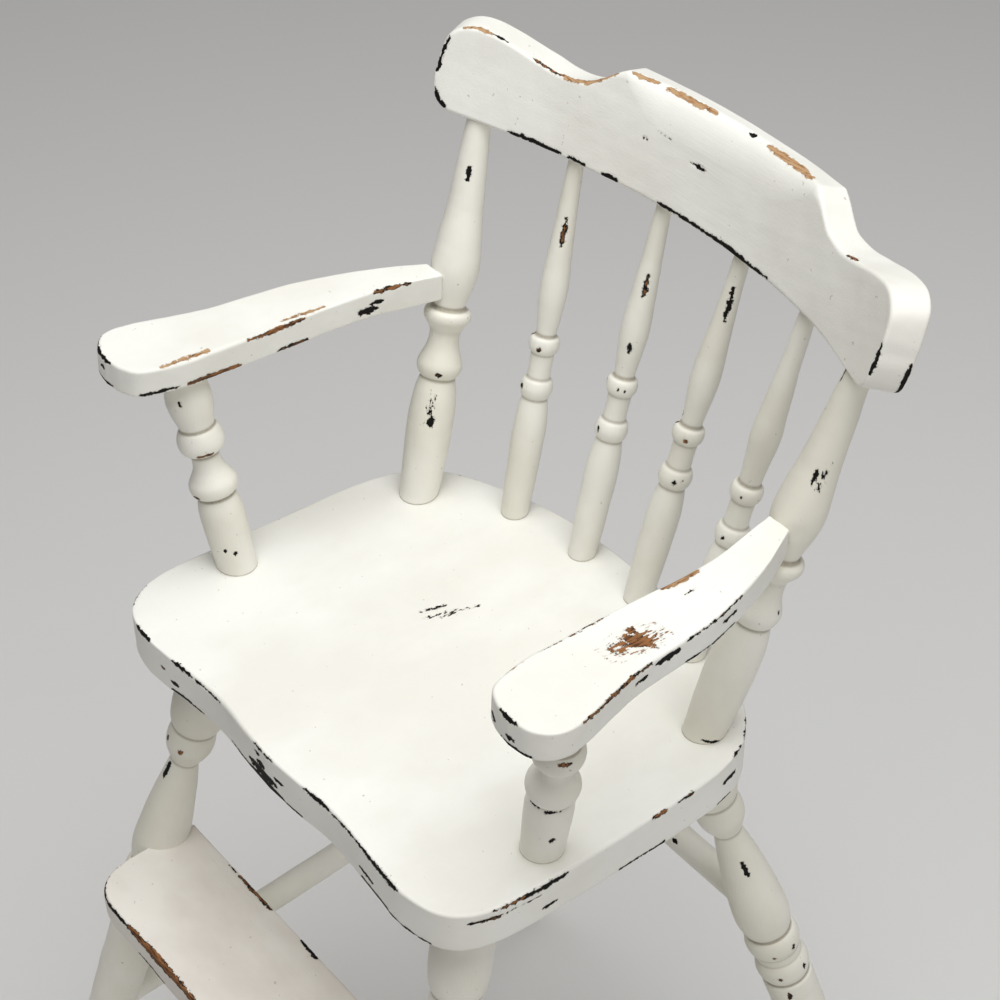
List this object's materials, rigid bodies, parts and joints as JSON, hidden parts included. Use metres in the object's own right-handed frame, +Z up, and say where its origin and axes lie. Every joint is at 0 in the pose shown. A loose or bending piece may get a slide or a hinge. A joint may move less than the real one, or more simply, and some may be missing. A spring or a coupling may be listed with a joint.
{
  "type": "baby high chair",
  "caption": "Wooden spindle-back baby high chair with paddle arms on turned supports, splayed turned legs, a notched footrest and worn off-white paint.",
  "frame": {"origin": "on the floor under the middle of the chair's box", "axes": "+X toward the right-hand arm as seen from the front, +Y toward the back, +Z up; the sitter faces -Y"},
  "size_m": [0.4494, 0.4764, 0.8383],
  "materials": {
    "paint_on_boards": "chalky off-white paint, worn on the edges",
    "paint_on_turnings": "cream-white satin paint, chipped",
    "paint_on_footrest": "scuffed off-white paint",
    "bare_beech": "bare"
  },
  "bodies": {
    "root": {"seat": "paint_on_boards", "crest_rail": "paint_on_boards", "back_post_left": "paint_on_turnings", "back_post_right": "paint_on_turnings", "back_spindle_1": "paint_on_turnings", "back_spindle_2": "paint_on_turnings", "back_spindle_3": "paint_on_turnings", "back_spindle_4": "paint_on_turnings", "arm_left": "paint_on_boards", "arm_right": "paint_on_boards", "arm_support_left": "paint_on_turnings", "arm_support_right": "paint_on_turnings", "leg_front_left": "paint_on_turnings", "leg_front_right": "paint_on_turnings", "leg_rear_left": "paint_on_turnings", "leg_rear_right": "paint_on_turnings", "footrest": "paint_on_footrest", "footrest_dowel_left": "bare_beech", "footrest_dowel_right": "bare_beech", "side_stretcher_left": "paint_on_turnings", "side_stretcher_right": "paint_on_turnings", "rear_stretcher": "paint_on_turnings"}
  },
  "joints": []
}
